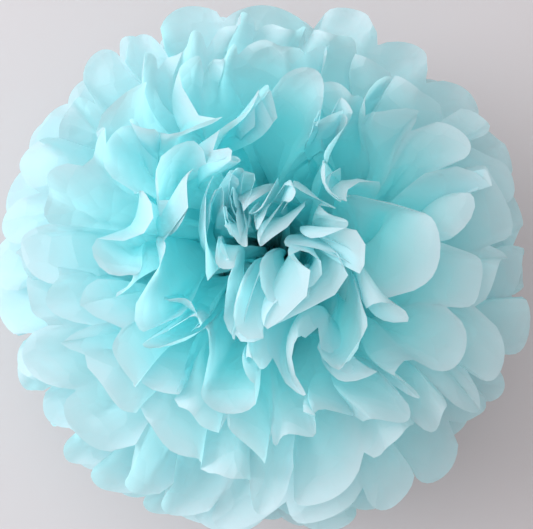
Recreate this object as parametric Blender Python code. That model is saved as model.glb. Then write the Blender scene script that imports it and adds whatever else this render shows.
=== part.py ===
"""Tissue paper pom pom, lying on a table with one flower face up.

Twelve rectangular sheets of tissue are stacked, folded into one accordion strip and tied round the middle with
a soft wire. The ends of the strip are cut round, so that every fold ends in a petal. The strip is fanned out on
both sides of the tie, and the sheets are pulled apart one by one, six up and six down, into a ball. Each sheet
stays one piece of paper: a narrow gathered waist in the tie, with a fan of pleats on either side of it.

Metres, +Z up through the centre of the flower. The origin is on the table, under the middle of the ball.
"""

from math import cos, pi, radians, sin

import bpy
import numpy as np

# The sheets, as cut and folded
BALL_DIAMETER = 0.350
SHEET_COUNT = 12
PLEATS_PER_SHEET = 13
PLEAT_WIDTH = 0.039
PETAL_CUT_DEPTH = 0.018
PETAL_ROUNDNESS = 0.97
SHEET_THICKNESS = 0.0004
SHEET_GAP = 0.0003

# The waist that the wire gathers
WAIST_RADIUS = 0.006
WAIST_LENGTH = 0.004

# The wire
WIRE_DIAMETER = 0.0008
WIRE_CLEARANCE = 0.0003
STRAND_CLEARANCE = 0.0002
WIRE_TAIL_LENGTH = 0.012
WIRE_TWIST_PITCH = 0.006

# The ball's outline: a little flatter than round, and flat where it stands on its lowest petals
POLE_FLATTENING = 0.05
REST_HEIGHT_SHARE = 0.88

# How far the first and last sheet of each half lean away from the pole. A share is a share of the ball's radius.
FIRST_LEAN = radians(12)
LAST_LEAN = radians(83)
LEANS_FULLY_AT_SHARE = 0.45
NEST_STEP = 0.0018

# The pleats, flat at the waist and full further out
PLEATS_START_AT_SHARE = 0.11
PLEATS_FULL_AT_SHARE = 0.47
LEAST_PLEAT_DEPTH = 0.006
POLE_CLEARANCE = radians(3)

# The seam between a sheet's two fans, open near the waist and lapped at the petals
SEAM_GAP = radians(3)
SEAM_OVERLAP = radians(3)
SEAM_CLOSES_FROM_SHARE = 0.5

# What the fluffing does to each petal
LOOSE_FROM_SHARE = 0.45
STAGGER_IN_PLEATS = 0.28
TIP_TILT = radians(7)
FOLD_TILT = radians(1.5)
LENGTH_SPREAD = 0.04

# What it does to the whole ball: a twist about the pole, and a gentle swirl
POLE_TWIST = radians(20)
DRIFT = 0.013
DRIFT_WAVELENGTH = 0.170
DRIFT_WAVES = 6
DRIFT_STEPS = 4
DRIFT_FROM_SHARE = 0.2
SEED = 11

# Rows of points from the waist to the petal ends: share of the ball's radius, points in each pleat
ROWS = ((0.11, 1), (0.45, 1), (0.76, 2), (1.0, 4))
STEPS_PER_TWIST = 7
STEPS_ROUND_WAIST = 16

BALL_RADIUS = BALL_DIAMETER / 2
REST_HEIGHT = BALL_RADIUS * REST_HEIGHT_SHARE
SHEET_PITCH = SHEET_THICKNESS + SHEET_GAP


def clear_scene():
    for obj in list(bpy.data.objects):
        bpy.data.objects.remove(obj, do_unlink=True)


def material(name, colour, roughness, metallic=0.0):
    made = bpy.data.materials.new(name)
    made.use_nodes = True
    shader = made.node_tree.nodes["Principled BSDF"]
    shader.inputs["Base Color"].default_value = (*colour, 1.0)
    shader.inputs["Roughness"].default_value = roughness
    shader.inputs["Metallic"].default_value = metallic
    return made


def smooth(t):
    """Rises from 0 at t = 0 to 1 at t = 1, level at both ends."""
    t = np.clip(t, 0.0, 1.0)
    return t * t * (3.0 - 2.0 * t)


def pleat_wave(x):
    """+1 at each even fold and -1 at each odd one, halfway between a sharp zigzag and a soft wave."""
    zigzag = 1.0 - 2.0 * np.abs((x % 2.0) - 1.0)
    return -0.5 * zigzag + 0.5 * np.cos(pi * x)


def petal_radius(x, longest):
    """The cut edge: full length in the middle of each pleat, and shorter by the cut's depth at its folds."""
    across = 2.0 * (x % 1.0) - 1.0
    return longest - PETAL_CUT_DEPTH * (1.0 - np.sqrt(1.0 - PETAL_ROUNDNESS * across * across))


def drift_waves():
    """Direction, phase and push of each wave of the gentle swirl that the fluffing leaves in the petals."""
    rng = np.random.default_rng(SEED)
    waves = []
    for _ in range(DRIFT_WAVES):
        direction = rng.normal(size=3)
        direction /= np.linalg.norm(direction)
        push = np.cross(direction, rng.normal(size=3))
        waves.append((direction, rng.uniform(0.0, 2.0 * pi), push / np.linalg.norm(push)))
    return waves


def twisted(points):
    """Points turned about the pole axis, one way above the waist and the other way below it."""
    radius = np.linalg.norm(points, axis=1)
    turn = POLE_TWIST * points[:, 2] / np.maximum(radius, 1e-9) * smooth(radius / BALL_RADIUS)
    x, y = points[:, 0], points[:, 1]
    turned = [x * np.cos(turn) - y * np.sin(turn), x * np.sin(turn) + y * np.cos(turn), points[:, 2]]
    return np.stack(turned, axis=1)


def drifted(points):
    """Points carried along a smooth swirl round the ball's centre. It moves all sheets alike, so none cross."""
    waves = drift_waves()
    step = DRIFT / DRIFT_STEPS
    for _ in range(DRIFT_STEPS):
        radius = np.linalg.norm(points, axis=1, keepdims=True)
        outward = points / np.maximum(radius, 1e-9)
        push = np.zeros_like(points)
        for direction, phase, sideways in waves:
            push += np.sin(2.0 * pi * points @ direction / DRIFT_WAVELENGTH + phase)[:, None] * sideways
        push -= (push * outward).sum(axis=1, keepdims=True) * outward
        points = points + step * smooth(radius / BALL_RADIUS - DRIFT_FROM_SHARE) * push
    return points


class Sheet:
    """One sheet of tissue, as the points of its middle surface and the triangles between them."""

    def __init__(self, number):
        self.number = number
        # The sheets lean away from the poles in equal steps, with the sheets next to the equator the flattest.
        self.from_pole = min(number, SHEET_COUNT - 1 - number)
        self.lean = FIRST_LEAN + (LAST_LEAN - FIRST_LEAN) * self.from_pole / (SHEET_COUNT / 2 - 1)
        if number != self.from_pole:
            self.lean = pi - self.lean
        self.points = []
        self.triangles = []
        rng = np.random.default_rng([SEED, number])
        size = (2, PLEATS_PER_SHEET)
        self.tip_tilt = rng.uniform(-1.0, 1.0, size) * TIP_TILT
        self.fold_tilt = rng.uniform(-1.0, 1.0, (2, PLEATS_PER_SHEET + 1)) * FOLD_TILT
        self.length = 1.0 + rng.uniform(-1.0, 0.2, size) * LENGTH_SPREAD
        self.height = (0.5 * (SHEET_COUNT - 1) - number) * SHEET_PITCH

    def place(self, side, x, distance):
        """Points at pleat coordinates x, at one distance from the tie, on the +Y side (0) or the -Y side (1)."""
        share = distance / BALL_RADIUS
        lean = 0.5 * pi + (self.lean - 0.5 * pi) * smooth(share / LEANS_FULLY_AT_SHARE)
        # Near the tie the two fans of a sheet keep apart. Further out, the end petals of one lie on the other's.
        closing = smooth((share - SEAM_CLOSES_FROM_SHARE) / (1.0 - SEAM_CLOSES_FROM_SHARE))
        seam = SEAM_GAP - (SEAM_GAP + SEAM_OVERLAP) * closing
        fan = pi - 2.0 * seam
        loose = smooth((share - LOOSE_FROM_SHARE) / (1.0 - LOOSE_FROM_SHARE))
        stagger = STAGGER_IN_PLEATS * (-1) ** self.number * loose * np.sin(pi * x / PLEATS_PER_SHEET)
        azimuth = seam + fan * (x + stagger) / PLEATS_PER_SHEET
        # A pleat keeps its width, so the less room it has round the ring, the deeper it folds.
        room = distance * np.sin(lean) * fan / PLEATS_PER_SHEET
        depth = np.sqrt(np.maximum(PLEAT_WIDTH ** 2 - room ** 2, LEAST_PLEAT_DEPTH ** 2))
        depth *= smooth((share - PLEATS_START_AT_SHARE) / (PLEATS_FULL_AT_SHARE - PLEATS_START_AT_SHARE))
        pleat = np.clip(x.astype(int), 0, PLEATS_PER_SHEET - 1)
        across = x - pleat
        folds = self.fold_tilt[side]
        tilt = folds[pleat] * (1.0 - across) + folds[pleat + 1] * across
        tilt = tilt + self.tip_tilt[side][pleat] * 4.0 * across * (1.0 - across)
        swing = np.minimum(0.5 * depth / distance, min(lean, pi - lean) - POLE_CLEARANCE)
        polar = lean + swing * pleat_wave(x) + tilt * loose
        reach = distance * (1.0 - POLE_FLATTENING * np.cos(polar) ** 2)
        flat = reach * np.sin(polar)
        points = np.stack([flat * np.cos(azimuth), flat * np.sin(azimuth), reach * np.cos(polar)], axis=1)
        points[:, 1] += WAIST_LENGTH / 2
        if side:
            points[:, :2] *= -1.0
        points[:, 2] += self.height
        return drifted(twisted(points))

    def add(self, points):
        first = len(self.points)
        self.points.extend(map(tuple, points))
        return list(range(first, len(self.points)))

    def bridge(self, inner, outer):
        """Triangles between two rows of points, in step along both."""
        inner_steps = len(inner) - 1
        outer_steps = len(outer) - 1
        i = j = 0
        while i < inner_steps or j < outer_steps:
            outer_is_behind = (j + 0.5) / outer_steps < (i + 0.5) / inner_steps
            if outer_is_behind or i == inner_steps:
                self.triangles.append((inner[i], outer[j], outer[j + 1]))
                j += 1
            else:
                self.triangles.append((inner[i], outer[j], inner[i + 1]))
                i += 1

    def rim(self, side, per_pleat):
        """The row of cut petal ends. The lowest petals stop at the table."""
        x = np.linspace(0.0, PLEATS_PER_SHEET, PLEATS_PER_SHEET * per_pleat + 1)
        pleat = np.clip(x.astype(int), 0, PLEATS_PER_SHEET - 1)
        distance = petal_radius(x, BALL_RADIUS * self.length[side][pleat])
        row = np.concatenate([self.place(side, x[i:i + 1], distance[i]) for i in range(len(x))])
        below = np.minimum(1.0, REST_HEIGHT / np.maximum(-row[:, 2], 1e-9))
        below[row[:, 2] > 0.0] = 1.0
        return row * below[:, None]

    def build(self):
        half_width = np.sqrt(WAIST_RADIUS ** 2 - self.height ** 2)
        waist_rows = []
        for side in (0, 1):
            turn = 1.0 - 2.0 * side
            waist = [(turn * half_width * c, turn * WAIST_LENGTH / 2, self.height) for c in (1.0, 0.0, -1.0)]
            inner = self.add(waist)
            waist_rows.append(inner)
            for share, per_pleat in ROWS[:-1]:
                x = np.linspace(0.0, PLEATS_PER_SHEET, PLEATS_PER_SHEET * per_pleat + 1)
                outer = self.add(self.place(side, x, share * BALL_RADIUS + self.from_pole * NEST_STEP))
                self.bridge(inner, outer)
                inner = outer
            self.bridge(inner, self.add(self.rim(side, ROWS[-1][1])))
        self.bridge(waist_rows[0], waist_rows[1][::-1])
        # The waist strip was bridged from the far side, so its triangles are turned over.
        strip = 2 * (len(waist_rows[0]) - 1)
        self.triangles[-strip:] = [t[::-1] for t in self.triangles[-strip:]]
        return self


def tissue_sheet(number, paper):
    sheet = Sheet(number).build()
    mesh = bpy.data.meshes.new(f"tissue_sheet_{number + 1:02d}")
    mesh.from_pydata(sheet.points, [], sheet.triangles)
    mesh.materials.append(paper)
    mesh.update()
    obj = bpy.data.objects.new(mesh.name, mesh)
    bpy.context.scene.collection.objects.link(obj)
    thick = obj.modifiers.new("paper", "SOLIDIFY")
    thick.thickness = SHEET_THICKNESS
    thick.offset = 0.0
    thick.use_even_offset = False
    return obj


def wire_path():
    """One wire: in along the twisted tail, once round the waist, and out along the tail again."""
    strand = 0.5 * (WIRE_DIAMETER + STRAND_CLEARANCE)
    loop = WAIST_RADIUS + 0.5 * SHEET_THICKNESS + WIRE_CLEARANCE + 0.5 * WIRE_DIAMETER
    start_x = loop + 2.0 * WIRE_DIAMETER
    turns = WIRE_TAIL_LENGTH / WIRE_TWIST_PITCH
    tail = []
    for step in range(int(turns * STEPS_PER_TWIST), -1, -1):
        angle = 2.0 * pi * step / STEPS_PER_TWIST
        tail.append((start_x + step * WIRE_TWIST_PITCH / STEPS_PER_TWIST, strand * sin(angle), strand * cos(angle)))
    gap = 2.0 * strand / loop
    ring = []
    for step in range(STEPS_ROUND_WAIST + 1):
        angle = gap + (2.0 * pi - 2.0 * gap) * step / STEPS_ROUND_WAIST
        ring.append((loop * cos(angle), 0.0, loop * sin(angle)))
    back = [(x, -y, -z) for x, y, z in reversed(tail)]
    return tail + ring + back


def wire_tie(steel):
    curve = bpy.data.curves.new("wire_tie", "CURVE")
    curve.dimensions = "3D"
    curve.bevel_depth = WIRE_DIAMETER / 2
    curve.bevel_resolution = 1
    curve.use_fill_caps = True
    path = wire_path()
    spline = curve.splines.new("POLY")
    spline.points.add(len(path) - 1)
    for point, place in zip(spline.points, path):
        point.co = (*place, 1.0)
    curve.materials.append(steel)
    obj = bpy.data.objects.new("wire_tie", curve)
    bpy.context.scene.collection.objects.link(obj)
    return obj


def seat_on_table(objects):
    """Lifts the ball to stand on its lowest petals, with the origin under the middle of its outline."""
    bpy.context.view_layer.update()
    corners = []
    for obj in objects:
        vertices = obj.data.vertices if obj.type == "MESH" else []
        corners.extend(tuple(v.co) for v in vertices)
    corners = np.array(corners)
    middle = 0.5 * (corners.min(axis=0) + corners.max(axis=0))
    for obj in objects:
        obj.location = (-middle[0], -middle[1], REST_HEIGHT + 0.5 * SHEET_THICKNESS)


def main():
    clear_scene()
    paper = material("aqua_tissue", (0.40, 0.79, 0.83), 0.8)
    steel = material("florist_wire", (0.55, 0.56, 0.56), 0.4, metallic=1.0)
    objects = [tissue_sheet(number, paper) for number in range(SHEET_COUNT)]
    objects.append(wire_tie(steel))
    seat_on_table(objects)


main()
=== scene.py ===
# %% [markdown]
# # A tissue paper pom pom
#
# Twelve thin sheets of turquoise tissue are folded together into one accordion strip, tied round the middle
# with soft wire, cut round at both ends, fanned out and pulled apart sheet by sheet. What was a flat stack
# becomes a ball of some three hundred petals.
#
# The construction is already there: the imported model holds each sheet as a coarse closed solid, with its
# own lean, its pleats and its petals. This script gives each sheet its soft form and its paper.

import bpy
import numpy as np
from math import pi, radians
from mathutils import Matrix, Vector


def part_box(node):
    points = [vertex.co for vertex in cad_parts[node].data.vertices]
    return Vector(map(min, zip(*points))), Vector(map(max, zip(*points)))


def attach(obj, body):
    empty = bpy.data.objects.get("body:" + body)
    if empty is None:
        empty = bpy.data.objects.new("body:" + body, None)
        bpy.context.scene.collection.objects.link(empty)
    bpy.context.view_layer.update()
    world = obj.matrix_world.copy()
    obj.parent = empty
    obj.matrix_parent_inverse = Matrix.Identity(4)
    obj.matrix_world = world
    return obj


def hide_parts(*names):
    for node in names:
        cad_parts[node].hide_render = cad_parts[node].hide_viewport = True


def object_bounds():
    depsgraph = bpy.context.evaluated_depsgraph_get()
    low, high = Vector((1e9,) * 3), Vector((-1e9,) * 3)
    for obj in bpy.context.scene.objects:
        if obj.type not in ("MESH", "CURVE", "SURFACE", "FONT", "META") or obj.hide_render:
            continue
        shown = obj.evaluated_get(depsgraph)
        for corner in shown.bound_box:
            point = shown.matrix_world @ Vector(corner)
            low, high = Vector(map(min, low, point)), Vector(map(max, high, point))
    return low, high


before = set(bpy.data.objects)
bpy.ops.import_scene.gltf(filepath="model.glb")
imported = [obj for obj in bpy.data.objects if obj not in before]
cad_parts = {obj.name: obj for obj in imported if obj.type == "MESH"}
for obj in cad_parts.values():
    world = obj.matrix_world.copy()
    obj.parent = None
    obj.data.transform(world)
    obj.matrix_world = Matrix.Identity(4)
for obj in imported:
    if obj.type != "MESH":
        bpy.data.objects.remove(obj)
cad_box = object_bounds()
cad_size = [high - low for low, high in zip(*cad_box)]
sheet_nodes = sorted(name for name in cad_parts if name.startswith("tissue_sheet"))
print("sheets:", len(sheet_nodes), "ball, mm:", [round(1000 * side) for side in cad_size])

# %% [markdown]
# ## The paper, as it is cut and folded
#
# These sizes are real ones: the strip is pleated 39 mm wide, and the ball is as wide as the sheets are
# long. The waist is where the wire gathers all the sheets, one flat strip above the other. The ball rests
# on its lowest petals, which the table presses a little shorter. Below, a share is a share of the ball's
# radius, measured from the tie.

# %% Sizes of the sheets
BALL_RADIUS = 0.175
SHEET_COUNT = 12
PLEATS = 13
PLEAT_WIDTH = 0.039
PETAL_CUT_DEPTH = 0.018
PETAL_ROUNDNESS = 0.97
SHEET_PITCH = 0.0007
WAIST_RADIUS = 0.006
WAIST_LENGTH = 0.004
REST_HEIGHT = 0.88 * BALL_RADIUS
TINY = 1e-9

# %% [markdown]
# ## Two small curves that everything else uses
#
# A soft step blends one state into another without a kink. The pleat wave runs up and down once every two
# folds. Near the tie a pleat is a crisp zigzag. Out at the petals the paper relaxes, and the wave is nearly
# a sine.

# %% Soft step and pleat wave
def smooth(t):
    """Soft step: three times t squared less twice t cubed, held at 0 before 0 and at 1 after 1."""
    t = np.clip(t, 0.0, 1.0)
    return t * t * (3.0 - 2.0 * t)


def pleat_wave(x, crispness):
    """One at even folds, minus one at odd folds: a mix of a straight zigzag and a cosine."""
    zigzag = 2.0 * np.abs((x % 2.0) - 1.0) - 1.0
    return crispness * zigzag + (1.0 - crispness) * np.cos(pi * x)


print("wave at folds 0 to 3:", pleat_wave(np.arange(4.0), 0.5))

# %% [markdown]
# ## Fluffing moves the whole ball
#
# When a ball is fluffed, the layers are twisted and pushed about together. Each petal could be pushed by
# itself, but then sheets would cross. A smooth flow moves points in space instead: since it carries every
# sheet alike, sheets that lay one above the other never pass through each other.

# %% Twist, and a flow made of waves
SEED = 11
POLE_TWIST = radians(20)


def twisted(points):
    """Turns points about the pole, by an angle that grows with the distance and the polar angle's cosine."""
    radius = np.linalg.norm(points, axis=-1)
    turn = POLE_TWIST * points[..., 2] / np.maximum(radius, TINY) * smooth(radius / BALL_RADIUS)
    x, y, z = np.moveaxis(points, -1, 0)
    return np.stack([x * np.cos(turn) - y * np.sin(turn), x * np.sin(turn) + y * np.cos(turn), z], axis=-1)


def sine_waves(rng, count):
    """Plane waves in space, each with a direction, a phase, and a push at right angles to its direction."""
    waves = []
    for _ in range(count):
        direction = rng.normal(size=3)
        direction /= np.linalg.norm(direction)
        push = np.cross(direction, rng.normal(size=3))
        waves.append((direction, rng.uniform(0.0, 2.0 * pi), push / np.linalg.norm(push)))
    return waves


def carried(points, waves, wavelength, amount, steps, weight):
    """Carries points along the summed waves in short steps. The push along the radius is left out."""
    step = amount / steps
    for _ in range(steps):
        radius = np.linalg.norm(points, axis=-1, keepdims=True)
        outward = points / np.maximum(radius, TINY)
        push = np.zeros_like(points)
        for direction, phase, sideways in waves:
            push += np.sin(2.0 * pi * points @ direction / wavelength + phase)[..., None] * sideways
        push -= (push * outward).sum(axis=-1, keepdims=True) * outward
        points = points + step * weight(radius, outward) * push
    return points


print("twist at the pole, degrees:", round(np.degrees(POLE_TWIST)))

# %% [markdown]
# ## A long swirl everywhere, and a crumple at the poles
#
# The long swirl bends whole bunches of petals to one side. The petals in the middle of the flower are
# pulled up hardest and have the least room, so they fold into each other as cones and cups. A second flow
# with shorter waves does this, at the poles only.

# %% Swirl and crumple
SWIRL = 0.013
SWIRL_WAVELENGTH = 0.170
SWIRL_WAVES = 6
SWIRL_STEPS = 4
SWIRL_FROM_SHARE = 0.2
CRUMPLE = 0.014
CRUMPLE_WAVELENGTH = 0.080
CRUMPLE_WAVES = 7
CRUMPLE_STEPS = 8
CRUMPLE_FROM_COSINE = 0.72
CRUMPLE_FROM_SHARE = 0.3
CRUMPLE_SEED = 15

swirl_waves = sine_waves(np.random.default_rng(SEED), SWIRL_WAVES)
crumple_waves = sine_waves(np.random.default_rng(CRUMPLE_SEED), CRUMPLE_WAVES)


def everywhere(radius, outward):
    """Nothing near the tie, and nearly all on the ball's surface."""
    return smooth(radius / BALL_RADIUS - SWIRL_FROM_SHARE)


def near_a_pole(radius, outward):
    """Nothing away from the poles or near the tie, and most at the pole on the ball's surface."""
    towards_pole = np.abs(outward[..., 2:])
    from_edge = (towards_pole - CRUMPLE_FROM_COSINE) / (1.0 - CRUMPLE_FROM_COSINE)
    return smooth(from_edge) * smooth(radius / BALL_RADIUS - CRUMPLE_FROM_SHARE)


def fluffed(points):
    """The twist, then the swirl, then the crumple."""
    points = twisted(points)
    points = carried(points, swirl_waves, SWIRL_WAVELENGTH, SWIRL, SWIRL_STEPS, everywhere)
    return carried(points, crumple_waves, CRUMPLE_WAVELENGTH, CRUMPLE, CRUMPLE_STEPS, near_a_pole)


pole_tip = np.array([[0.0, 0.0, BALL_RADIUS]])
print("a petal tip at the pole moves, mm:", np.round(1000 * (fluffed(pole_tip) - pole_tip), 1))

# %% [markdown]
# ## How far each sheet leans
#
# Pulled apart one by one, the sheets lean away from the pole in equal steps, six above the waist and six
# below. Each sheet may only use the space halfway to its neighbours.

# %% Lean of each sheet
FIRST_LEAN = radians(8)
LAST_LEAN = radians(83)


def from_pole_of(number):
    """How many sheets lie between this one and the nearer pole."""
    return min(number, SHEET_COUNT - 1 - number)


def lean_of(number):
    """Equal steps from the first to the last lean above the waist, mirrored below it."""
    lean = FIRST_LEAN + (LAST_LEAN - FIRST_LEAN) * from_pole_of(number) / (SHEET_COUNT / 2 - 1)
    return lean if number < SHEET_COUNT / 2 else pi - lean


def half_room(number):
    """Half the angle to the nearer of the two neighbouring sheets."""
    steps = np.diff([lean_of(n) for n in range(SHEET_COUNT)])
    return 0.5 * min(steps[max(number - 1, 0)], steps[min(number, SHEET_COUNT - 2)])


def from_equator(at_equator, at_pole, lean):
    """Goes from one value to another with the square of the lean's cosine."""
    return at_equator + (at_pole - at_equator) * np.cos(lean) ** 2


print("leans, degrees:", [round(np.degrees(lean_of(n))) for n in range(SHEET_COUNT)])

# %% [markdown]
# ## Some petals open wide, some stay shut
#
# Paper that opens in one place closes up beside it. Waves round the pole squeeze and stretch the pleats:
# the sum of a few sines is added to the azimuth, and its slope says how much room a pleat has there. The
# slope stays above minus one, so pleats squeeze but never pass each other.

# %% Opened and shut pleats
OPENING_WAVES = ((4, 0.30), (7, 0.42), (11, 0.28))
OPENING_AT_POLE = 0.6
OPENING_AT_EQUATOR = 0.12
OPENING_SLIDE = 2.5
OPENS_FULLY_AT_SHARE = 0.6
OPENING_SEED = 99

opening_phases = np.random.default_rng([SEED, OPENING_SEED]).uniform(0.0, 2.0 * pi, len(OPENING_WAVES))


def opened(azimuth, lean, share):
    """The moved azimuth, and how many times wider than even a pleat is there."""
    amount = from_equator(OPENING_AT_EQUATOR, OPENING_AT_POLE, lean) * smooth(share / OPENS_FULLY_AT_SHARE)
    moved = azimuth
    width = np.ones_like(azimuth)
    for (count, part), phase in zip(OPENING_WAVES, opening_phases):
        angle = count * azimuth + phase + OPENING_SLIDE * np.cos(lean)
        moved = moved + amount * part / count * np.sin(angle)
        width = width + amount * part * np.cos(angle)
    return moved, width


print("widest and narrowest pleat at the pole:", 1 + OPENING_AT_POLE, "and", round(1 - OPENING_AT_POLE, 2))

# %% [markdown]
# ## Pleats bow and bend in an S
#
# A pleat that is deeper than its sheet has room for can't stand straight: it bows to one side, or bends in
# an S. Neighbours do so alike, so slow waves round the pole say which way. The hyperbolic tangent makes
# them switch quickly from one side to the other.

# %% Bows and bends
BEND_WAVES = ((1, 0.45), (2, 0.55), (3, 0.45), (5, 0.30))
BEND_STEEPNESS = 4.0
BEND_SEED = 98
BOW_AT_POLE = 0.35
BOW_AT_EQUATOR = 0.15
S_AT_POLE = 0.3
S_AT_EQUATOR = 0.12

bend_phase_size = (SHEET_COUNT, 2, len(BEND_WAVES))
bend_phases = np.random.default_rng([SEED, BEND_SEED]).uniform(0.0, 2.0 * pi, bend_phase_size)


def bends(azimuth, number):
    """From minus one to one: how strongly and to which side the pleats bow, and the same for the S."""
    found = []
    for phases in bend_phases[number]:
        total = 0.0 * azimuth
        for (count, part), phase in zip(BEND_WAVES, phases):
            total = total + part * np.sin(count * azimuth + phase)
        found.append(np.tanh(BEND_STEEPNESS * total))
    return found


print("bows of sheet 1 at four azimuths:", np.round(bends(np.arange(4.0), 0)[0], 2))

# %% [markdown]
# ## What makes each petal different
#
# Fingers leave every petal its own tilt, length, cup and curl, and press some pleats flat against their
# neighbour. These are drawn at random from seeds that belong to the sheet, so each run gives the same ball.

# %% How much petals differ
TIP_TILT = radians(11)
FOLD_TILT = radians(1.5)
LENGTH_SPREAD = 0.04
SHORTEST = -1.0
LONGEST = 0.2
TIP_CURL = radians(7)
CURL_SPREAD = radians(5)
CENTRE_CURL_SPREAD = radians(9)
CURL_LIMIT = 1.6
CUP = radians(5.0)
S_CUP = radians(2.2)
RIM_RUFFLE = radians(1.8)
FOLD_WANDER = 0.12
PRESSED_AT_POLE = 0.2
LEAST_PRESSED = 0.6
MOST_PRESSED = 1.1
INWARD_SHARE = 0.15
CREASES = 8

print("petals in the ball:", SHEET_COUNT * PLEATS * 2)

# %% [markdown]
# ## Folds stand in or out, some two in a row
#
# In a fresh strip the folds stand in and out by turns. Where fingers have opened a sheet, two folds in a
# row may stand on the same side, and the pleat between them lies along the ring. So the steps are shuffled:
# most cross from one side to the other, a few stay.

# %% Where each fold stands
STAY_PAIRS_AT_POLE = 3
STAY_PAIRS_AT_EQUATOR = 1
LEAST_SWING = 0.55


def in_and_out(rng, near_centre):
    """Where each fold of a fan stands, from minus one (in) to one (out)."""
    pairs = STAY_PAIRS_AT_EQUATOR + (STAY_PAIRS_AT_POLE - STAY_PAIRS_AT_EQUATOR) * near_centre
    stays = 2 * round(pairs)
    crosses = rng.permutation([1] * (PLEATS - stays) + [0] * stays)
    way = (-1.0) ** np.concatenate([[0], np.cumsum(crosses)])
    return way * rng.uniform(LEAST_SWING, 1.0, PLEATS + 1)


class Petals:
    """Random values for the petals and folds of one sheet: index 0 is the fan on +Y, index 1 that on -Y."""

    def __init__(self, number):
        size = (2, PLEATS)
        fold_size = (2, PLEATS + 1)
        near_centre = np.cos(lean_of(number)) ** 4
        cutting = np.random.default_rng([SEED, number])
        self.tip_tilt = cutting.uniform(-1.0, 1.0, size) * TIP_TILT
        self.fold_tilt = cutting.uniform(-1.0, 1.0, fold_size) * FOLD_TILT
        self.length = 1.0 + cutting.uniform(SHORTEST, LONGEST, size) * LENGTH_SPREAD
        fingers = np.random.default_rng([SEED, number, 1])
        curl_spread = CURL_SPREAD + (CENTRE_CURL_SPREAD - CURL_SPREAD) * near_centre
        curl = np.clip(fingers.normal(size=size), -CURL_LIMIT, CURL_LIMIT)
        self.curl = TIP_CURL * (1.0 - near_centre) + curl * curl_spread
        self.cup = fingers.normal(size=size) * CUP
        self.s_cup = fingers.normal(size=size) * S_CUP
        self.ruffle = fingers.normal(size=size) * RIM_RUFFLE
        self.ruffle_phase = fingers.uniform(0.0, 2.0 * pi, size)
        self.fold_wander = fingers.uniform(-1.0, 1.0, fold_size) * FOLD_WANDER
        self.fold_wander[:, [0, -1]] = 0.0
        self.fold_place = np.stack([in_and_out(fingers, near_centre) for _ in range(2)])
        by_turns = (-1.0) ** np.arange(PLEATS)
        pressed = by_turns * fingers.uniform(LEAST_PRESSED, MOST_PRESSED, size)
        self.pressed = 1.0 + PRESSED_AT_POLE * near_centre * pressed
        self.bulge_way = np.where(fingers.uniform(size=size) < INWARD_SHARE, -1.0, 1.0)
        self.crease_phase = fingers.uniform(0.0, 1.0, CREASES)
        self.crease_turn = fingers.normal(size=CREASES)


print("folds of sheet 1 stand at:", np.round(Petals(0).fold_place[0], 1))

# %% [markdown]
# ## The paper near its cut end
#
# Each pleat of the strip is cut round, so the unfolded sheet has a scalloped edge: a stretched circle per
# pleat. Handled tissue also keeps fine straight creases. They are triangle waves across the paper, most of
# them nearly along the pleats.

# %% Cut edge and creases
CREASE_HEIGHT = 0.0014
CREASE_TURN = radians(18)
LEAST_CREASE_WIDTH = 0.017
CREASE_WIDTH_SPREAD = 0.006
CREASE_SHIFT = 7.0


def petal_end(x, longest):
    """The cut edge: the longest in mid-pleat, and shorter at the folds by a stretched circle's height."""
    across = 2.0 * (x % 1.0) - 1.0
    return longest - PETAL_CUT_DEPTH * (1.0 - np.sqrt(1.0 - PETAL_ROUNDNESS * across * across))


def creases(x, distance, petals):
    """Height of the wrinkles: a sum of triangle waves, each with its own turn and width."""
    total = np.zeros(np.broadcast(x, distance).shape)
    for phase, turn in zip(petals.crease_phase, petals.crease_turn):
        angle = CREASE_TURN * turn
        width = LEAST_CREASE_WIDTH + CREASE_WIDTH_SPREAD * phase
        across = (x * PLEAT_WIDTH * np.cos(angle) + distance * np.sin(angle)) / width
        total += np.abs((across + CREASE_SHIFT * phase) % 2.0 - 1.0) - 0.5
    return total / np.sqrt(CREASES)


print("cut edge over one pleat, mm:", np.round(1000 * petal_end(np.linspace(0.0, 1.0, 5), BALL_RADIUS), 1))

# %% [markdown]
# ## One fan of a sheet
#
# A fan is worked out in polar form. Each point of the paper has a pleat coordinate x, which counts folds,
# and a distance from the tie. The sheet leans away from the pole by its own angle, and its pleats swing to
# and fro about that. A pleat keeps its width: what it doesn't span round the ring is spare, and goes into
# depth and bends. Near the tie the pleats are even. Further out they are loose, and each takes its own
# form. The two fans of a sheet keep apart near the tie, and lap at the petals.

# %% What all steps of a fan share
LEANS_FULLY_AT_SHARE = 0.45
NEST_STEP = 0.0018
PLEATS_START_AT_SHARE = 0.11
PLEATS_FULL_AT_SHARE = 0.36
LEAST_PLEAT_DEPTH = 0.006
SEAM_GAP = radians(3)
SEAM_OVERLAP = radians(3)
SEAM_CLOSES_FROM_SHARE = 0.5
LOOSE_FROM_SHARE = 0.45


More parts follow.
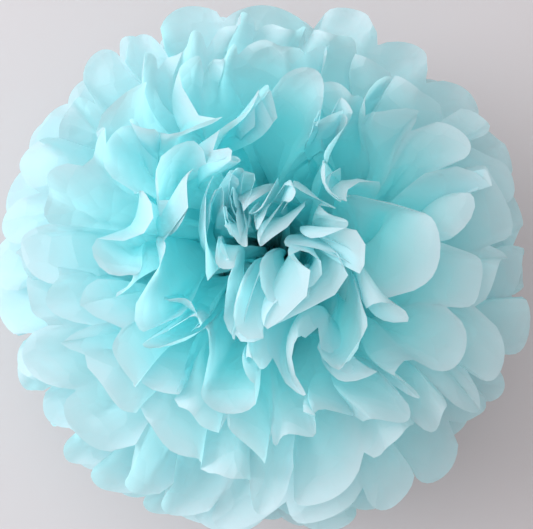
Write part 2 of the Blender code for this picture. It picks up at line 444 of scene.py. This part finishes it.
class Fan:
    """Points of one fan, at pleat coordinates x and distances from the tie, and what follows from them.

    side is 0 for the fan on +Y and 1 for the fan on -Y. across runs from 0 to 1 over each pleat.
    """

    def __init__(self, number, side, x, distance, petals):
        self.number = number
        self.side = side
        self.x = x
        self.distance = distance
        self.petals = petals
        self.share = distance / BALL_RADIUS
        self.pleat = np.clip(x.astype(int), 0, PLEATS - 1)
        self.across = x - self.pleat
        self.middle = 4.0 * self.across * (1.0 - self.across)
        self.folds = petals.fold_place[side]
        self.lean = 0.5 * pi + (lean_of(number) - 0.5 * pi) * smooth(self.share / LEANS_FULLY_AT_SHARE)
        self.loose = self.risen(LOOSE_FROM_SHARE, 1.0)
        self.formed = self.risen(PLEATS_START_AT_SHARE, PLEATS_FULL_AT_SHARE)
        self.seam = SEAM_GAP - (SEAM_GAP + SEAM_OVERLAP) * self.risen(SEAM_CLOSES_FROM_SHARE, 1.0)
        self.angle = pi - 2.0 * self.seam
        self.even_room = distance * np.sin(self.lean) * self.angle / PLEATS
        self.spare = np.maximum(PLEAT_WIDTH ** 2 - self.even_room ** 2, LEAST_PLEAT_DEPTH ** 2)

    def risen(self, start, end):
        """Rises from 0 at one share of the radius to 1 at another."""
        return smooth((self.share - start) / (end - start))

    def of_pleat(self, values):
        """The value of the pleat that each point lies in."""
        return values[self.side][self.pleat]

    def at_folds(self, values):
        """A straight blend between the values of the two folds beside each point."""
        beside = values[self.side]
        return beside[self.pleat] * (1.0 - self.across) + beside[self.pleat + 1] * self.across


print("fans:", 2 * SHEET_COUNT)

# %% [markdown]
# ## Room round the ring
#
# A pleat that crosses from in to out needs little room round the ring, and one that stays in or out takes
# much. So each pleat's room is the third side of a right triangle with the pleat's width and its step in or
# out, and all rooms together fill the ring. Sheets next to each other are staggered, like scales.

# %% Azimuth of each point
STAGGER_IN_PLEATS = 0.28
LEAST_ROOM = 0.004


def own_places(fan):
    """Pleat coordinates in this fan's own spacing, and each pleat's room as a share of an even one's."""
    depth = np.sqrt(fan.spare) * fan.formed
    step = 0.5 * np.abs(np.diff(fan.folds))
    rooms = np.sqrt(np.maximum(PLEAT_WIDTH ** 2 - (depth[..., None] * step) ** 2, LEAST_ROOM ** 2))
    ends = np.cumsum(rooms * fan.petals.pressed[fan.side], axis=-1)
    scale = PLEATS / ends[..., -1:]
    ends = np.concatenate([np.zeros_like(scale), ends * scale], axis=-1)
    index = fan.pleat[..., None]
    begin = np.take_along_axis(ends, index, -1)[..., 0]
    finish = np.take_along_axis(ends, index + 1, -1)[..., 0]
    return begin * (1.0 - fan.across) + finish * fan.across, finish - begin


def round_the_ring(fan):
    """The azimuth of each point before its pleat bends, and the room that its pleat has there."""
    own_x, room_share = own_places(fan)
    stagger = STAGGER_IN_PLEATS * (-1) ** fan.number * np.sin(pi * fan.x / PLEATS)
    place = fan.x + fan.loose * (own_x - fan.x + stagger + fan.at_folds(fan.petals.fold_wander))
    azimuth = fan.side * pi + fan.seam + fan.angle * place / PLEATS
    azimuth, width = opened(azimuth, fan.lean, fan.share)
    return azimuth, room_share * fan.even_room * width


print("stagger, mm at the petals:", round(1000 * STAGGER_IN_PLEATS * PLEAT_WIDTH, 1))

# %% [markdown]
# ## Depth and bends
#
# The spare paper goes three ways: into the depth of the pleat, into its bow, and into its S. The swing is
# held within the sheet's own band between its neighbours, and what the band doesn't take makes the S
# stronger. The two ratios come from the length of shallow arcs: they say how far a bow or an S stands out for
# the spare paper that it takes up.

# %% Swing and sideways bends
POLE_CLEARANCE = radians(3)
CLEARANCE_STEP = radians(5)
BAND_SHARE = 0.92
S_STRENGTH = 1.6
WIDTH_FROM_BOW = 2.27
WIDTH_FROM_S = 4.54
SOFTENING = 0.7
SOFTENS_FROM_SHARE = 0.3


def held(angle, band):
    """Holds an angle softly within a band."""
    return band * np.tanh(angle / band)


def own_wave_of(fan):
    """From minus one to one, where each point stands: a soft path from fold to fold."""
    soft_across = 0.5 - 0.5 * np.cos(pi * fan.across)
    return fan.folds[fan.pleat] * (1.0 - soft_across) + fan.folds[fan.pleat + 1] * soft_across


def bent(fan, azimuth, own_wave, band):
    """The azimuth after its pleat bows and bends, the pleat's depth, its swing, and its lean when even."""
    bow_way, s_way = bends(azimuth, fan.number)
    bow_part = fan.loose * bow_way ** 2 * from_equator(BOW_AT_EQUATOR, BOW_AT_POLE, fan.lean)
    s_part = fan.loose * s_way ** 2 * from_equator(S_AT_EQUATOR, S_AT_POLE, fan.lean)
    depth = np.sqrt(fan.spare * (1.0 - bow_part - s_part))
    clearance = POLE_CLEARANCE + CLEARANCE_STEP * from_pole_of(fan.number)
    swing = 0.5 * depth * fan.formed / fan.distance
    swing = np.minimum(swing, np.minimum(fan.lean, pi - fan.lean) - clearance)
    kept_swing = (1.0 - fan.loose) * swing + fan.loose * held(swing, band)
    left_over = np.maximum(fan.spare * (1.0 - bow_part) - (2.0 * kept_swing * fan.distance) ** 2, 0.0)
    bow = np.sqrt(fan.spare * bow_part) * np.sign(bow_way) / WIDTH_FROM_BOW
    s_bend = S_STRENGTH * fan.formed * np.sqrt(left_over) * s_way / WIDTH_FROM_S
    even_wave = pleat_wave(fan.x, 1.0 - SOFTENING * fan.risen(SOFTENS_FROM_SHARE, 1.0))
    wave = (1.0 - fan.loose) * even_wave + fan.loose * own_wave
    sideways = bow * (1.0 - wave ** 2) + s_bend * np.sin(pi * wave)
    even_polar = fan.lean + (1.0 - fan.loose) * kept_swing * even_wave
    return azimuth + sideways / (fan.distance * np.sin(fan.lean)), depth, swing, even_polar


print("bands, degrees:", [round(np.degrees(BAND_SHARE * half_room(n)), 1) for n in range(SHEET_COUNT // 2)])

# %% [markdown]
# ## Bulges, tilts and curls
#
# Paper that is wider than the room it spans bulges. The height of a shallow arc over a straight chord
# follows from how much longer the arc is. On top of that, fingers tilt, cup and curl each petal, and leave
# a slight ruffle along its rim.

# %% How a petal leaves its fold line
BULGE_SHARE = 0.7
BULGE_FROM_SLACK = 0.375
LARGEST_BULGE = 0.009
LEAST_CHORD = 0.0001
CURL_FROM_SHARE = 0.6
FOLD_CURL_SHARE = 0.5
RUFFLE_HALF_WAVES = 3.0
RUFFLE_SLIDE = 12.0


def bulged(fan, depth, room):
    """How far a point bulges from its pleat's chord, as the sag of a shallow arc."""
    step = 0.5 * np.abs(np.diff(fan.folds))[fan.pleat]
    chord = np.maximum(np.hypot(room, depth * step), LEAST_CHORD)
    sag = chord * np.sqrt(BULGE_FROM_SLACK * np.maximum(PLEAT_WIDTH / chord - 1.0, 0.0))
    sag = np.minimum(BULGE_SHARE * sag * room / chord, LARGEST_BULGE)
    way = np.sign(fan.folds[fan.pleat] + fan.folds[fan.pleat + 1]) * fan.of_pleat(fan.petals.bulge_way)
    return way * sag * fan.middle


def fingered(fan):
    """The angle by which each petal is tilted, curled, cupped and ruffled."""
    petals = fan.petals
    up_or_down = 1.0 if fan.number < SHEET_COUNT / 2 else -1.0
    towards_tip = np.maximum((fan.share - CURL_FROM_SHARE) / (1.0 - CURL_FROM_SHARE), 0.0) ** 2
    curl_across = FOLD_CURL_SHARE + (1.0 - FOLD_CURL_SHARE) * fan.middle
    ruffle = np.sin(RUFFLE_HALF_WAVES * pi * fan.across)
    ruffle = ruffle * np.cos(fan.of_pleat(petals.ruffle_phase) + RUFFLE_SLIDE * fan.share)
    angle = fan.at_folds(petals.fold_tilt) + fan.of_pleat(petals.tip_tilt) * fan.middle
    angle = angle + up_or_down * towards_tip * curl_across * fan.of_pleat(petals.curl)
    angle = angle + fan.of_pleat(petals.cup) * np.sin(pi * fan.across)
    angle = angle + fan.of_pleat(petals.s_cup) * np.sin(2.0 * pi * fan.across)
    return angle + towards_tip * fan.of_pleat(petals.ruffle) * ruffle


print("largest bulge, mm:", round(1000 * LARGEST_BULGE))

# %% [markdown]
# ## All steps together
#
# The azimuth and the polar angle of each point are found, with all that leaves the fold line held within
# the sheet's band. The ball is a little flatter than round, so points near the poles lie nearer. Then the
# fan is moved to its side of the waist and its place in the stack, and the fluffing carries it.

# %% Points of a fan
POLE_FLATTENING = 0.05


def stack_height(number):
    """Height of a sheet's strip above the middle of the waist."""
    return (0.5 * (SHEET_COUNT - 1) - number) * SHEET_PITCH


def fan_points(number, side, x, distance, petals):
    """Points in space for pleat coordinates x and distances from the tie."""
    fan = Fan(number, side, x, distance, petals)
    band = BAND_SHARE * half_room(number)
    own_wave = own_wave_of(fan)
    azimuth, room = round_the_ring(fan)
    azimuth, depth, swing, even_polar = bent(fan, azimuth, own_wave, band)
    offset = swing * own_wave + bulged(fan, depth, room) / distance + fingered(fan)
    polar = even_polar + fan.loose * held(offset, band)
    polar = polar + CREASE_HEIGHT / distance * creases(x, distance, petals)
    reach = distance * (1.0 - POLE_FLATTENING * np.cos(polar) ** 2)
    flat = reach * np.sin(polar)
    points = np.stack([flat * np.cos(azimuth), flat * np.sin(azimuth), reach * np.cos(polar)], axis=-1)
    points[..., 1] += (1.0 - 2.0 * side) * WAIST_LENGTH / 2
    points[..., 2] += stack_height(number)
    return fluffed(points)


print("flattening at the poles, mm:", round(1000 * POLE_FLATTENING * BALL_RADIUS, 1))

# %% [markdown]
# ## From the waist to the rim
#
# Rows of points run from the gathered waist out to the cut edge, closer together at the petals, where the
# paper bends most. The lowest petals are pressed short by the table. Each point also keeps two things for
# the material: its place on the flat sheet, and how deep it lies behind the cut end. That depth sets the
# paper's painted light and shade: painted light at the cut end, and painted shade further in. Towards the
# equator the petals lie flat and open, so more of each petal gets the painted light of its pale end.

# %% Grid of a fan
COLUMNS_PER_PLEAT = 12
FAN_ROWS = 40
WAIST_ROWS = 4
FIRST_ROW_SHARE = 0.11
ROW_SPACING = 0.8
PRESSED_TOWARDS_TIP = 4
# How far the painted light of the pale cut end reaches into a petal, at the pole and at the equator
PAINTED_LIGHT_REACH_AT_POLE = 0.032
PAINTED_LIGHT_REACH_AT_EQUATOR = 0.110
PAINTED_LIGHT_GROWS_FROM = 0.15


def pressed_by_table(points, t):
    """Draws petals that would reach through the table back towards the tie, most at their ends."""
    lowest = points[-1:, :, 2]
    kept = np.clip(REST_HEIGHT / np.maximum(-lowest, TINY), None, 1.0)
    kept[lowest > 0.0] = 1.0
    return points * (1.0 - (1.0 - kept) * t ** PRESSED_TOWARDS_TIP)[..., None]


def waist_line(number, side, x):
    """The gathered strip under the wire, as one straight row of points."""
    turn = 1.0 - 2.0 * side
    height = stack_height(number)
    half_width = np.sqrt(WAIST_RADIUS ** 2 - height ** 2)
    across = turn * half_width * np.cos(pi * x[0] / PLEATS)
    along = np.full_like(across, turn * WAIST_LENGTH / 2)
    return np.stack([across, along, np.full_like(across, height)], axis=-1)


def painted_shade_behind_the_cut(points, to_end):
    """Painted light and shade: 0 (painted light) at the cut end, rising to 1 (painted shade) behind a reach
    that grows from the pole to the equator.
    """
    radius = np.maximum(np.linalg.norm(points, axis=-1), TINY)
    sine_squared = 1.0 - (points[..., 2] / radius) ** 2
    grown = smooth((sine_squared - PAINTED_LIGHT_GROWS_FROM) / (1.0 - PAINTED_LIGHT_GROWS_FROM))
    reach = PAINTED_LIGHT_REACH_AT_POLE + (PAINTED_LIGHT_REACH_AT_EQUATOR - PAINTED_LIGHT_REACH_AT_POLE) * grown
    return np.clip(to_end / reach, 0.0, 1.0)


def fan_grid(number, side, petals):
    """Points of a fan in rows, their places on the flat sheet, and their depth behind the cut end, which is
    the mask of the painted light and shade.
    """
    x = np.linspace(0.0, PLEATS, PLEATS * COLUMNS_PER_PLEAT + 1)[None, :]
    t = np.linspace(0.0, 1.0, FAN_ROWS)[:, None] ** ROW_SPACING
    pleat = np.clip(x.astype(int), 0, PLEATS - 1)
    start = FIRST_ROW_SHARE * BALL_RADIUS + from_pole_of(number) * NEST_STEP
    end = petal_end(x, BALL_RADIUS * petals.length[side][pleat])
    distance = start + (end - start) * t
    loose = fan_points(number, side, np.broadcast_to(x, distance.shape), distance, petals)
    loose = pressed_by_table(loose, t)
    blend = np.linspace(0.0, 1.0, WAIST_ROWS, endpoint=False)[:, None]
    waist = waist_line(number, side, x) * (1.0 - blend[..., None]) + loose[:1] * blend[..., None]
    points = np.concatenate([waist, loose])
    lengths = np.concatenate([start * blend * np.ones_like(x), distance])
    flat = np.stack([x * PLEAT_WIDTH * np.ones_like(lengths), (1.0 - 2.0 * side) * lengths], axis=-1)
    return points, flat, painted_shade_behind_the_cut(points, end - lengths)


print("points in a fan:", (WAIST_ROWS + FAN_ROWS) * (PLEATS * COLUMNS_PER_PLEAT + 1))

# %% [markdown]
# ## Into a mesh
#
# The two fans share the waist, so a sheet is one unbroken piece of paper. Tissue is far too thin to show
# its edge, so it is a single surface. The middle of the wire's loop gives the place of the tie: the loop
# reaches 7.3 mm from its middle to the side without the tail.

# %% Build the twelve sheets
WIRE_LOOP_REACH = 0.0073
SHARP_FOLD = radians(50)

tie_low, tie_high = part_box("wire_tie")
tie_middle = [0.5 * (low + high) for low, high in zip(tie_low, tie_high)]
TIE = np.array([tie_low[0] + WIRE_LOOP_REACH, tie_middle[1], tie_middle[2]])


def grid_faces(first, rows, columns):
    """Four-sided faces of a grid of points that are stored row by row."""
    corner = first + np.arange(rows - 1)[:, None] * columns + np.arange(columns - 1)[None, :]
    return np.stack([corner, corner + columns, corner + columns + 1, corner + 1], axis=-1).reshape(-1, 4)


def paper_object(name, points, faces, flat, depth):
    """A mesh of four-sided faces, with the flat sheet as its UV map, and the depth behind the cut end as an
    attribute. That depth is the mask of the painted light and shade.
    """
    mesh = bpy.data.meshes.new(name)
    mesh.vertices.add(len(points))
    mesh.vertices.foreach_set("co", points.astype(np.float32).ravel())
    mesh.loops.add(faces.size)
    mesh.loops.foreach_set("vertex_index", faces.astype(np.int32).ravel())
    mesh.polygons.add(len(faces))
    mesh.polygons.foreach_set("loop_start", np.arange(0, faces.size, 4, dtype=np.int32))
    paper = mesh.uv_layers.new(name="paper")
    paper.data.foreach_set("uv", flat[faces.ravel()].astype(np.float32).ravel())
    # The depth behind the cut end: the mask of the paper's painted light (pale) and painted shade (deep
    # turquoise)
    behind = mesh.attributes.new("depth", "FLOAT", "POINT")
    behind.data.foreach_set("value", depth.astype(np.float32).ravel())
    mesh.update(calc_edges=True)
    mesh.validate()
    mesh.shade_smooth()
    mesh.set_sharp_from_angle(angle=SHARP_FOLD)
    piece = bpy.data.objects.new(name, mesh)
    bpy.context.scene.collection.objects.link(piece)
    return piece


def tissue_sheet(number):
    """Two fans, and the strip under the wire that joins them."""
    petals = Petals(number)
    grids = [fan_grid(number, side, petals) for side in (0, 1)]
    rows, columns = grids[0][0].shape[:2]
    count = rows * columns
    left = np.arange(columns)
    right = count + np.arange(columns)[::-1]
    waist = np.stack([left[:-1], left[1:], right[1:], right[:-1]], axis=-1)
    faces = np.concatenate([grid_faces(0, rows, columns), grid_faces(count, rows, columns), waist])
    points = np.concatenate([points.reshape(-1, 3) for points, flat, depth in grids]) + TIE
    flat_places = np.concatenate([flat.reshape(-1, 2) for points, flat, depth in grids])
    painted_shade_depths = np.concatenate([depth.ravel() for points, flat, depth in grids])
    return paper_object(f"petals_{number + 1:02d}", points, faces, flat_places, painted_shade_depths)


sheets = [tissue_sheet(number) for number in range(SHEET_COUNT)]
face_counts = [len(sheet.data.polygons) for sheet in sheets]
print("faces in a sheet:", face_counts[0], "in all:", sum(face_counts))

# %% [markdown]
# ## Shader sums written as sums
#
# A material is a network of nodes. A small class wraps a socket, so that sums on it can be written as
# Python expressions, each of which adds its Math node. All other nodes come from one method.

# %% A socket that can be added and multiplied
class Shade:
    """One material's node tree."""

    def __init__(self, name):
        self.material = bpy.data.materials.new(name)
        self.material.use_nodes = True
        self.tree = self.material.node_tree
        self.tree.nodes.clear()

    def node(self, kind, settings=None, **inputs):
        """Adds a node, sets its properties first, and then its sockets, by value or by link."""
        made = self.tree.nodes.new(kind)
        for key, value in (settings or {}).items():
            setattr(made, key, value)
        for key, value in inputs.items():
            self.put(made.inputs[key.replace("_", " ")], value)
        return made

    def put(self, socket, value):
        if isinstance(value, Sum):
            self.tree.links.new(value.socket, socket)
        elif isinstance(value, bpy.types.NodeSocket):
            self.tree.links.new(value, socket)
        else:
            socket.default_value = value

    def value(self, socket):
        return Sum(self, socket)


class Sum:
    """A number that a socket gives, ready for arithmetic."""

    def __init__(self, shade, socket):
        self.shade = shade
        self.socket = socket

    def apply(self, operation, first, second):
        made = self.shade.node("ShaderNodeMath", {"operation": operation})
        self.shade.put(made.inputs[0], first)
        self.shade.put(made.inputs[1], second)
        return Sum(self.shade, made.outputs[0])

    def __add__(self, other):
        return self.apply("ADD", self, other)

    def __sub__(self, other):
        return self.apply("SUBTRACT", self, other)

    def __mul__(self, other):
        return self.apply("MULTIPLY", self, other)


print("sums ready")

# %% [markdown]
# ## Tissue paper
#
# Tissue is so thin that more than half of the light goes through it. So the surface mixes two shaders: one
# that scatters light back, and one that lets it through. Light and shade are also painted into the base
# colour. There is painted light at the cut ends, which look pale where they catch the most light. There is
# painted shade that deepens to turquoise further in, where light has passed through the dye many times.
# Fibres give a faint cloudiness, and small facets stand for the crumpling that is finer than the mesh.

# %% Paper material
# Painted light (pale, at the cut ends) and painted shade (deep turquoise, further in), over the paper's own
# turquoise
PAINTED_LIGHT_PALE = (0.79, 0.80, 0.84, 1.0)
PAINTED_SHADE_DEEP = (0.30, 0.93, 0.95, 1.0)
THROUGH = (0.54, 0.93, 0.95, 1.0)
LIGHT_THROUGH = 0.58
PAPER_ROUGHNESS = 0.75
PAPER_SPECULAR = 0.25
CLOUDS_PER_METRE = 140.0
CLOUD_DETAIL = 3.0
CLOUD_ROUGHNESS = 0.6
CLOUD_TINT = 0.25
PAINTED_SHADE_SHIFT = 0.12
FIBRES_PER_METRE = 1400.0
FIBRE_DETAIL = 2.0
CLOUD_HEIGHT = 0.6
FIBRE_HEIGHT = 0.4
FIBRE_STRENGTH = 0.25
FIBRE_DEPTH = 0.0003
FACETS_PER_METRE = 70.0
FACET_STRENGTH = 0.8
FACET_DEPTH = 0.0026


def paper_bump(shade, place, cloud):
    """Facets first, and on them the finer height of clouds and fibres."""
    fibre = shade.node("ShaderNodeTexNoise", Vector=place, Scale=FIBRES_PER_METRE, Detail=FIBRE_DETAIL)
    height = cloud * CLOUD_HEIGHT + shade.value(fibre.outputs["Fac"]) * FIBRE_HEIGHT
    facets = shade.node("ShaderNodeTexVoronoi", Vector=place, Scale=FACETS_PER_METRE)
    crumpled = shade.node("ShaderNodeBump", Strength=FACET_STRENGTH, Distance=FACET_DEPTH,
                          Height=facets.outputs["Distance"])
    return shade.node("ShaderNodeBump", Strength=FIBRE_STRENGTH, Distance=FIBRE_DEPTH, Height=height,
                      Normal=crumpled.outputs["Normal"])


def tissue_material():
    shade = Shade("tissue paper")
    place = shade.node("ShaderNodeUVMap", {"uv_map": "paper"}).outputs["UV"]
    clouds = shade.node("ShaderNodeTexNoise", Vector=place, Scale=CLOUDS_PER_METRE, Detail=CLOUD_DETAIL,
                        Roughness=CLOUD_ROUGHNESS)
    cloud = shade.value(clouds.outputs["Fac"])
    depth = shade.node("ShaderNodeAttribute", {"attribute_name": "depth"}).outputs["Fac"]
    # Base colour with painted light and shade: pale at the cut ends, deep turquoise further in, mixed by the
    # depth behind the cut and the fibre clouds
    dye_with_painted_light_and_shade = shade.node("ShaderNodeMix", {"data_type": "RGBA"})
    shade.put(dye_with_painted_light_and_shade.inputs["Factor"], shade.value(depth) + cloud * CLOUD_TINT - PAINTED_SHADE_SHIFT)
    shade.put(dye_with_painted_light_and_shade.inputs["A"], PAINTED_LIGHT_PALE)
    shade.put(dye_with_painted_light_and_shade.inputs["B"], PAINTED_SHADE_DEEP)
    normal = paper_bump(shade, place, cloud).outputs["Normal"]
    face = shade.node("ShaderNodeBsdfPrincipled", Base_Color=dye_with_painted_light_and_shade.outputs["Result"],
                      Roughness=PAPER_ROUGHNESS, Specular_IOR_Level=PAPER_SPECULAR, Normal=normal)
    through = shade.node("ShaderNodeBsdfTranslucent", Color=THROUGH, Normal=normal)
    mix = shade.node("ShaderNodeMixShader")
    shade.put(mix.inputs[0], LIGHT_THROUGH)
    shade.put(mix.inputs[1], face.outputs[0])
    shade.put(mix.inputs[2], through.outputs[0])
    shade.node("ShaderNodeOutputMaterial", Surface=mix.outputs[0])
    return shade.material


tissue = tissue_material()
print("nodes in the paper:", len(tissue.node_tree.nodes))

# %% [markdown]
# ## Each sheet takes its node's place
#
# A sheet of the scene replaces the plain solid of the same sheet, which is hidden. It is one flat sheet of
# paper with round cut ends, gathered in the wire. The area printed is that of the paper after the cut.

# %% Dress the sheets
CUT_SAMPLES = 101

mean_length = 1.0 + 0.5 * (SHORTEST + LONGEST) * LENGTH_SPREAD
cut_ends = petal_end(np.linspace(0.0, 1.0, CUT_SAMPLES), BALL_RADIUS * mean_length)
cut_area = 2.0 * PLEATS * PLEAT_WIDTH * cut_ends.mean()
for number, sheet in enumerate(sheets):
    sheet.data.materials.append(tissue)
    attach(sheet, "root")
    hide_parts(sheet_nodes[number])
print("paper in one sheet, square metres:", round(cut_area, 3))

# %% [markdown]
# ## Wire
#
# The wire is the one part that isn't paper: soft bare steel, a little dull, with uneven drawing marks. Its
# node already has its true shape, so it only gets its finish.

# %% Wire material
STEEL = (0.52, 0.53, 0.54, 1.0)
STEEL_ROUGHNESS = 0.32
MARK_ROUGHNESS = 0.2
MARKS_PER_METRE = 900.0
MARK_DETAIL = 2.0


def wire_material():
    shade = Shade("florist wire")
    place = shade.node("ShaderNodeTexCoord").outputs["Object"]
    marks = shade.node("ShaderNodeTexNoise", Vector=place, Scale=MARKS_PER_METRE, Detail=MARK_DETAIL)
    rough = shade.value(marks.outputs["Fac"]) * MARK_ROUGHNESS + STEEL_ROUGHNESS
    face = shade.node("ShaderNodeBsdfPrincipled", Base_Color=STEEL, Metallic=1.0, Roughness=rough)
    shade.node("ShaderNodeOutputMaterial", Surface=face.outputs[0])
    return shade.material


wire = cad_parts["wire_tie"]
wire.data.materials.clear()
wire.data.materials.append(wire_material())
print("wire:", wire.name)

# %% [markdown]
# ## Table and light
#
# The ball lies on a pale table. A big, slightly cool window lamp stands to its left, a larger lamp hangs
# above, and the room gives an even, slightly warm light, so the shadow stays soft.

# %% Stage
TABLE_SIZE = 6.0
TABLE_COLOUR = (0.545, 0.52, 0.53, 1.0)
TABLE_ROUGHNESS = 0.9
WINDOW_PLACE = (-2.1, 0.4, 1.1)
WINDOW_SIZE = 1.8
WINDOW_POWER = 56.0
WINDOW_COLOUR = (0.95, 1.0, 1.04)
CEILING_PLACE = (-0.5, 0.1, 2.2)
CEILING_SIZE = 2.0
CEILING_POWER = 21.0
CEILING_COLOUR = (1.0, 1.0, 1.0)
WORLD_COLOUR = (1.0, 0.93, 0.94, 1.0)
WORLD_STRENGTH = 0.56

ball_centre = Vector((0.0, 0.0, 0.5 * cad_size[2]))


def matt_material(name, colour):
    shade = Shade(name)
    face = shade.node("ShaderNodeBsdfPrincipled", Base_Color=colour, Roughness=TABLE_ROUGHNESS)
    shade.node("ShaderNodeOutputMaterial", Surface=face.outputs[0])
    return shade.material


def soft_light(name, place, size, power, colour):
    """A round lamp that looks at the middle of the ball."""
    data = bpy.data.lights.new(name, "AREA")
    data.shape = "DISK"
    data.size = size
    data.energy = power
    data.color = colour
    lamp = bpy.data.objects.new(name, data)
    lamp.location = place
    lamp.rotation_euler = (ball_centre - Vector(place)).to_track_quat("-Z", "Y").to_euler()
    bpy.context.scene.collection.objects.link(lamp)


bpy.ops.mesh.primitive_plane_add(size=TABLE_SIZE)
table = bpy.context.object
table.name = "table"
table.data.materials.append(matt_material("table", TABLE_COLOUR))

soft_light("window", WINDOW_PLACE, WINDOW_SIZE, WINDOW_POWER, WINDOW_COLOUR)
soft_light("ceiling", CEILING_PLACE, CEILING_SIZE, CEILING_POWER, CEILING_COLOUR)

world = bpy.data.worlds.new("room")
world.use_nodes = True
background = world.node_tree.nodes["Background"]
background.inputs["Color"].default_value = WORLD_COLOUR
background.inputs["Strength"].default_value = WORLD_STRENGTH
bpy.context.scene.world = world
bpy.context.scene.view_settings.view_transform = "Standard"
print("lamps:", len(bpy.data.lights))

# %% [markdown]
# ## Camera
#
# The camera looks down on the flower from 0.75 m, a little off the pole. In the photograph the ball fills
# the picture: its outline has a radius of 270 pixels. A sphere looks larger than its widest circle from
# this near, so the lens follows from the angle at which the line of sight touches it.

# %% Look down on the flower
IMAGE_WIDTH = 533
OUTLINE_RADIUS_PIXELS = 270.0
OUTLINE_RADIUS = 0.172
CAMERA_DISTANCE = 0.75
CAMERA_TILT = radians(7.5)
CAMERA_TURN = radians(230.0)
SENSOR_WIDTH = 36.0

camera_data = bpy.data.cameras.new("camera")
camera = bpy.data.objects.new("camera", camera_data)
bpy.context.scene.collection.objects.link(camera)
bpy.context.scene.camera = camera

sideways = np.sin(CAMERA_TILT)
direction = Vector((sideways * np.cos(CAMERA_TURN), sideways * np.sin(CAMERA_TURN), np.cos(CAMERA_TILT)))
right = Vector((0.0, 1.0, 0.0)).cross(direction).normalized()
up = direction.cross(right)
camera_axes = Matrix((right, up, direction)).transposed()
camera.matrix_world = Matrix.LocRotScale(ball_centre + CAMERA_DISTANCE * direction, camera_axes, None)
edge = np.tan(np.arcsin(OUTLINE_RADIUS / CAMERA_DISTANCE))
camera_data.sensor_width = SENSOR_WIDTH
camera_data.lens = SENSOR_WIDTH * (OUTLINE_RADIUS_PIXELS / edge) / IMAGE_WIDTH
print("lens, mm:", round(camera_data.lens, 1))
